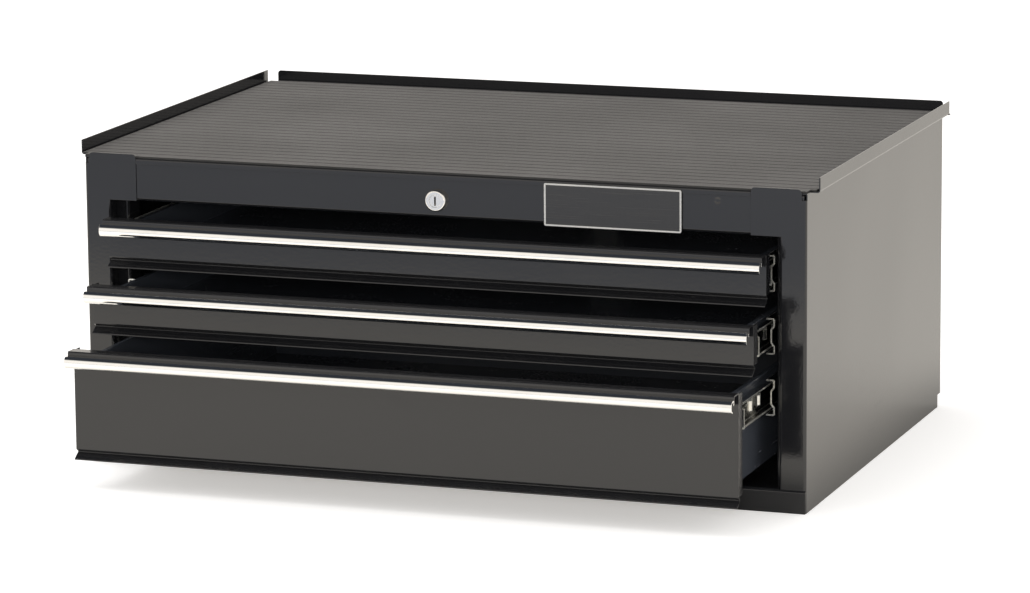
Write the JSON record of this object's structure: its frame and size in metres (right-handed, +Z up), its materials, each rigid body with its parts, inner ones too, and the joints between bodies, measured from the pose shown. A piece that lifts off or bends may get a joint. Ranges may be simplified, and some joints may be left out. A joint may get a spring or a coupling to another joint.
{
  "type": "machinist tool chest",
  "caption": "Low machinist tool chest with full-width drawers on ball bearing slides, a lipped top tray with a ribbed mat and one cam lock; shown with the drawers staggered open.",
  "frame": {"origin": "centre of the footprint, on the surface that the chest stands on", "axes": "+Z up, +X to the right of someone facing the drawers, -Y out through the drawer fronts"},
  "size_m": [0.693, 0.5814, 0.2942],
  "materials": {
    "black_paint": "gloss black powder coat on folded steel",
    "bright_trim": "polished rolled trim",
    "mat": "fine ribbed charcoal rubber",
    "zinc": "bright zinc plate",
    "chrome": "polished nickel-chrome plate",
    "steel": "plain ground steel",
    "badge": "plain silver-grey plate with a black face"
  },
  "bodies": {
    "case": {"base_pan": "black_paint", "side_left": "black_paint", "side_right": "black_paint", "back_panel": "black_paint", "back_rivets": "zinc", "bottom_rail": "black_paint", "header_panel": "black_paint", "top_tray": "black_paint", "top_mat": "mat", "badge_plate": "badge", "lock_housing": "chrome", "lock_nut": "zinc", "lock_rod_bracket": "zinc", "lock_bar_guides": "zinc", "upright_front_left": "black_paint", "upright_front_right": "black_paint", "upright_rear_left": "black_paint", "upright_rear_right": "black_paint", "slide_1_left_case_member": "zinc", "slide_1_right_case_member": "zinc", "slide_2_left_case_member": "zinc", "slide_2_right_case_member": "zinc", "slide_3_left_case_member": "zinc", "slide_3_right_case_member": "zinc"},
    "lock_plug": {"lock_plug": "chrome", "lock_rod": "steel"},
    "lock_bar": {"lock_bar": "zinc"},
    "drawer_1": {"drawer_1_box": "black_paint", "drawer_1_front": "black_paint", "drawer_1_trim": "bright_trim", "drawer_1_catch": "zinc", "slide_1_left_runner": "zinc", "slide_1_right_runner": "zinc"},
    "cages_1": {"slide_1_left_cage": "zinc", "slide_1_right_cage": "zinc", "slide_1_balls": "steel"},
    "drawer_2": {"drawer_2_box": "black_paint", "drawer_2_front": "black_paint", "drawer_2_trim": "bright_trim", "drawer_2_catch": "zinc", "slide_2_left_runner": "zinc", "slide_2_right_runner": "zinc"},
    "cages_2": {"slide_2_left_cage": "zinc", "slide_2_right_cage": "zinc", "slide_2_balls": "steel"},
    "drawer_3": {"drawer_3_box": "black_paint", "drawer_3_front": "black_paint", "drawer_3_trim": "bright_trim", "drawer_3_catch": "zinc", "slide_3_left_runner": "zinc", "slide_3_right_runner": "zinc"},
    "cages_3": {"slide_3_left_cage": "zinc", "slide_3_right_cage": "zinc", "slide_3_balls": "steel"}
  },
  "joints": [
    {"name": "lock_turn", "type": "hinge", "parent": "case", "child": "lock_plug", "pos_m": [0, 0, 0.2586], "axis": [0, 1, 0], "range_deg": [0, 90]},
    {"name": "lock_bar_drop", "type": "slide", "parent": "case", "child": "lock_bar", "axis": [0, 0, -1], "range_m": [0, 0.0113]},
    {"name": "drawer_1_slide", "type": "slide", "parent": "case", "child": "drawer_1", "axis": [0, -1, 0], "range_m": [-0.0185, 0.2815]},
    {"name": "cages_1_slide", "type": "slide", "parent": "case", "child": "cages_1", "axis": [0, -1, 0], "range_m": [-0.00925, 0.14075]},
    {"name": "drawer_2_slide", "type": "slide", "parent": "case", "child": "drawer_2", "axis": [0, -1, 0], "range_m": [-0.0555, 0.2445]},
    {"name": "cages_2_slide", "type": "slide", "parent": "case", "child": "cages_2", "axis": [0, -1, 0], "range_m": [-0.02775, 0.12225]},
    {"name": "drawer_3_slide", "type": "slide", "parent": "case", "child": "drawer_3", "axis": [0, -1, 0], "range_m": [-0.099, 0.201]},
    {"name": "cages_3_slide", "type": "slide", "parent": "case", "child": "cages_3", "axis": [0, -1, 0], "range_m": [-0.0495, 0.1005]}
  ],
  "couplings": [
    {"joint": "lock_turn", "follows": "lock_bar_drop", "rad_per_m": 138.9},
    {"joint": "cages_1_slide", "follows": "drawer_1_slide", "ratio": 0.5},
    {"joint": "cages_2_slide", "follows": "drawer_2_slide", "ratio": 0.5},
    {"joint": "cages_3_slide", "follows": "drawer_3_slide", "ratio": 0.5}
  ]
}
